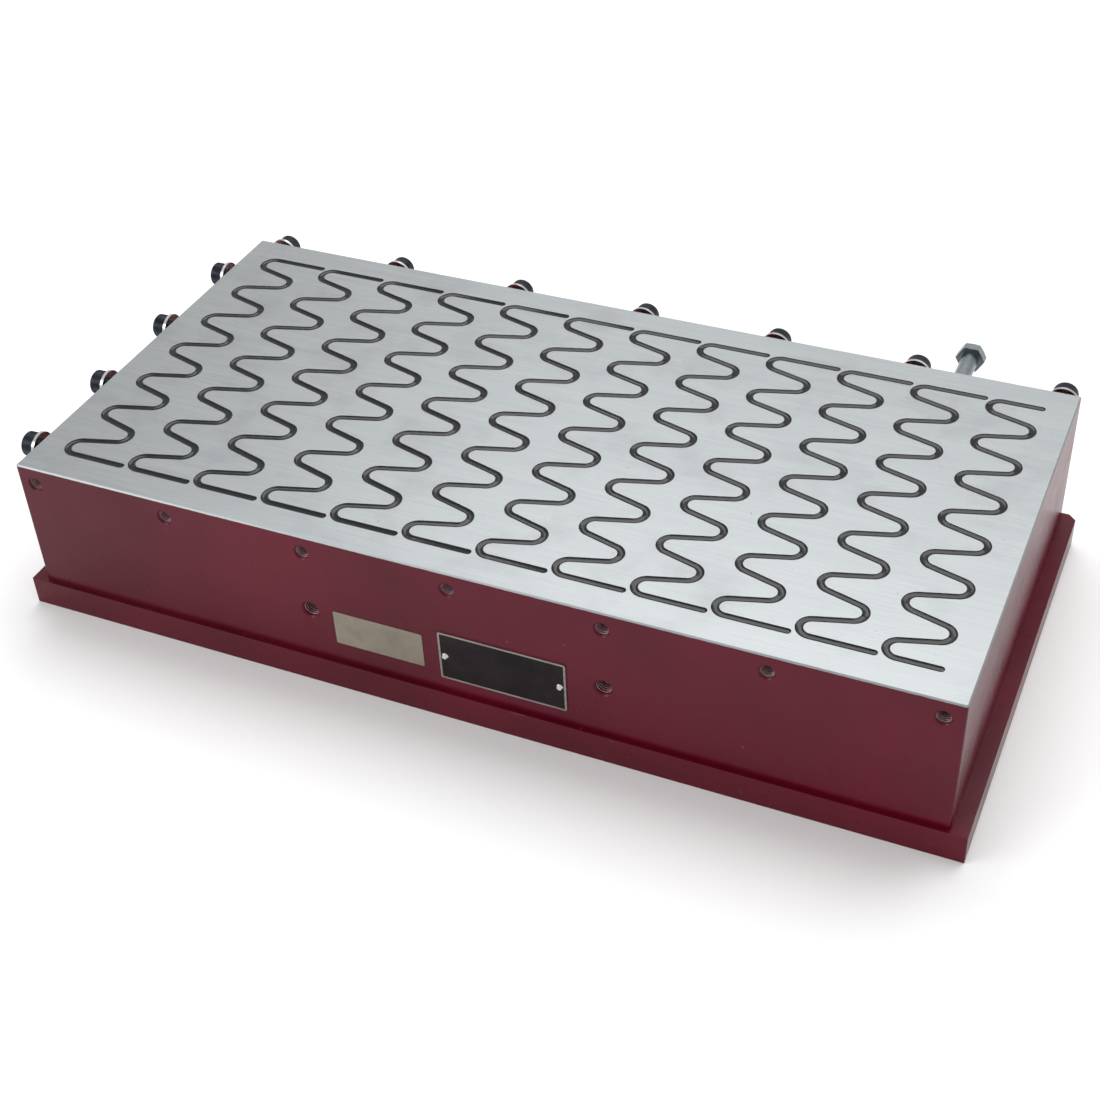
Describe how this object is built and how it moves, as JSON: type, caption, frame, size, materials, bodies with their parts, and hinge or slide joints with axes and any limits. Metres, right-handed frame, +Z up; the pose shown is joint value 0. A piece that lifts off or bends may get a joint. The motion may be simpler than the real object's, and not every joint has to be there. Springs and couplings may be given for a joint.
{
  "type": "magnetic chuck",
  "caption": "Rectangular electromagnetic chuck: ground steel face with serpentine resin-filled slots on a painted box body, rows of threaded holes and stop-rail screws.",
  "frame": {"origin": "centre of the holding face's outline, on the underside of the base plate", "axes": "+X along the length, to the right seen from the front; +Y to the back; +Z up, out of the holding face"},
  "size_m": [0.63, 0.4155, 0.113],
  "materials": {
    "painted_steel": "burgundy machine enamel, semi-gloss",
    "ground_steel": "surface-ground mild steel, painted on its sides",
    "resin": "black epoxy, poured and cured",
    "rubber": "nitrile",
    "black_steel": "black oxide",
    "magnet_steel": "mill finish",
    "moulded_insulation": "moulded phenolic",
    "copper": "enamelled copper wire and bare strip",
    "plated_brass": "nickel plate",
    "zinc_steel": "bright zinc plate",
    "label_aluminium": "anodised"
  },
  "bodies": {
    "root": {"base_plate": "painted_steel", "body_frame": "painted_steel", "pole_plate": "ground_steel", "slot_fill": "resin", "base_seal": "rubber", "top_seal": "rubber", "tie_screws": "black_steel", "coil_formers": "moulded_insulation", "series_links": "copper", "inlet_body": "plated_brass", "inlet_nut": "plated_brass", "inlet_insert": "rubber", "terminal_block": "moulded_insulation", "terminal_screws": "zinc_steel", "nameplate": "label_aluminium", "nameplate_rivets": "zinc_steel", "blank_label": "label_aluminium", "core_bar_1": "magnet_steel", "core_bar_2": "magnet_steel", "core_bar_3": "magnet_steel", "core_bar_4": "magnet_steel", "core_bar_5": "magnet_steel", "core_bar_6": "magnet_steel", "coil_1": "copper", "coil_2": "copper", "coil_3": "copper", "coil_4": "copper", "coil_5": "copper", "coil_6": "copper", "return_bar_1": "magnet_steel", "return_bar_2": "magnet_steel", "return_bar_3": "magnet_steel", "return_bar_4": "magnet_steel", "return_bar_5": "magnet_steel"},
    "rear_screw_1": {"rear_screw_1": "black_steel", "rear_washer_1": "zinc_steel"},
    "rear_screw_2": {"rear_screw_2": "black_steel", "rear_washer_2": "zinc_steel"},
    "rear_screw_3": {"rear_screw_3": "black_steel", "rear_washer_3": "zinc_steel"},
    "rear_screw_4": {"rear_screw_4": "black_steel", "rear_washer_4": "zinc_steel"},
    "rear_screw_5": {"rear_screw_5": "black_steel", "rear_washer_5": "zinc_steel"},
    "rear_screw_6": {"rear_screw_6": "black_steel", "rear_washer_6": "zinc_steel"},
    "rear_screw_7": {"rear_screw_7": "black_steel", "rear_washer_7": "zinc_steel"},
    "side_screw_1": {"side_screw_1": "black_steel", "side_washer_1": "zinc_steel"},
    "side_screw_2": {"side_screw_2": "black_steel", "side_washer_2": "zinc_steel"},
    "side_screw_3": {"side_screw_3": "black_steel", "side_washer_3": "zinc_steel"},
    "side_screw_4": {"side_screw_4": "black_steel", "side_washer_4": "zinc_steel"},
    "lift_bolt": {"lift_bolt": "zinc_steel"}
  },
  "joints": [
    {"name": "rear_screw_1_travel", "type": "slide", "parent": "root", "child": "rear_screw_1", "axis": [0, -1, 0], "range_m": [-0.0038, 0.00795]},
    {"name": "rear_screw_2_travel", "type": "slide", "parent": "root", "child": "rear_screw_2", "axis": [0, -1, 0], "range_m": [-0.0038, 0.00795]},
    {"name": "rear_screw_3_travel", "type": "slide", "parent": "root", "child": "rear_screw_3", "axis": [0, -1, 0], "range_m": [-0.0038, 0.00795]},
    {"name": "rear_screw_4_travel", "type": "slide", "parent": "root", "child": "rear_screw_4", "axis": [0, -1, 0], "range_m": [-0.0038, 0.00795]},
    {"name": "rear_screw_5_travel", "type": "slide", "parent": "root", "child": "rear_screw_5", "axis": [0, -1, 0], "range_m": [-0.0038, 0.00795]},
    {"name": "rear_screw_6_travel", "type": "slide", "parent": "root", "child": "rear_screw_6", "axis": [0, -1, 0], "range_m": [-0.0038, 0.00795]},
    {"name": "rear_screw_7_travel", "type": "slide", "parent": "root", "child": "rear_screw_7", "axis": [0, -1, 0], "range_m": [-0.0038, 0.00795]},
    {"name": "side_screw_1_travel", "type": "slide", "parent": "root", "child": "side_screw_1", "axis": [1, 0, 0], "range_m": [-0.0038, 0.00795]},
    {"name": "side_screw_2_travel", "type": "slide", "parent": "root", "child": "side_screw_2", "axis": [1, 0, 0], "range_m": [-0.0038, 0.00795]},
    {"name": "side_screw_3_travel", "type": "slide", "parent": "root", "child": "side_screw_3", "axis": [1, 0, 0], "range_m": [-0.0038, 0.00795]},
    {"name": "side_screw_4_travel", "type": "slide", "parent": "root", "child": "side_screw_4", "axis": [1, 0, 0], "range_m": [-0.0038, 0.00795]},
    {"name": "lift_bolt_travel", "type": "slide", "parent": "root", "child": "lift_bolt", "axis": [0, 1, 0], "range_m": [0, 0.012]}
  ]
}
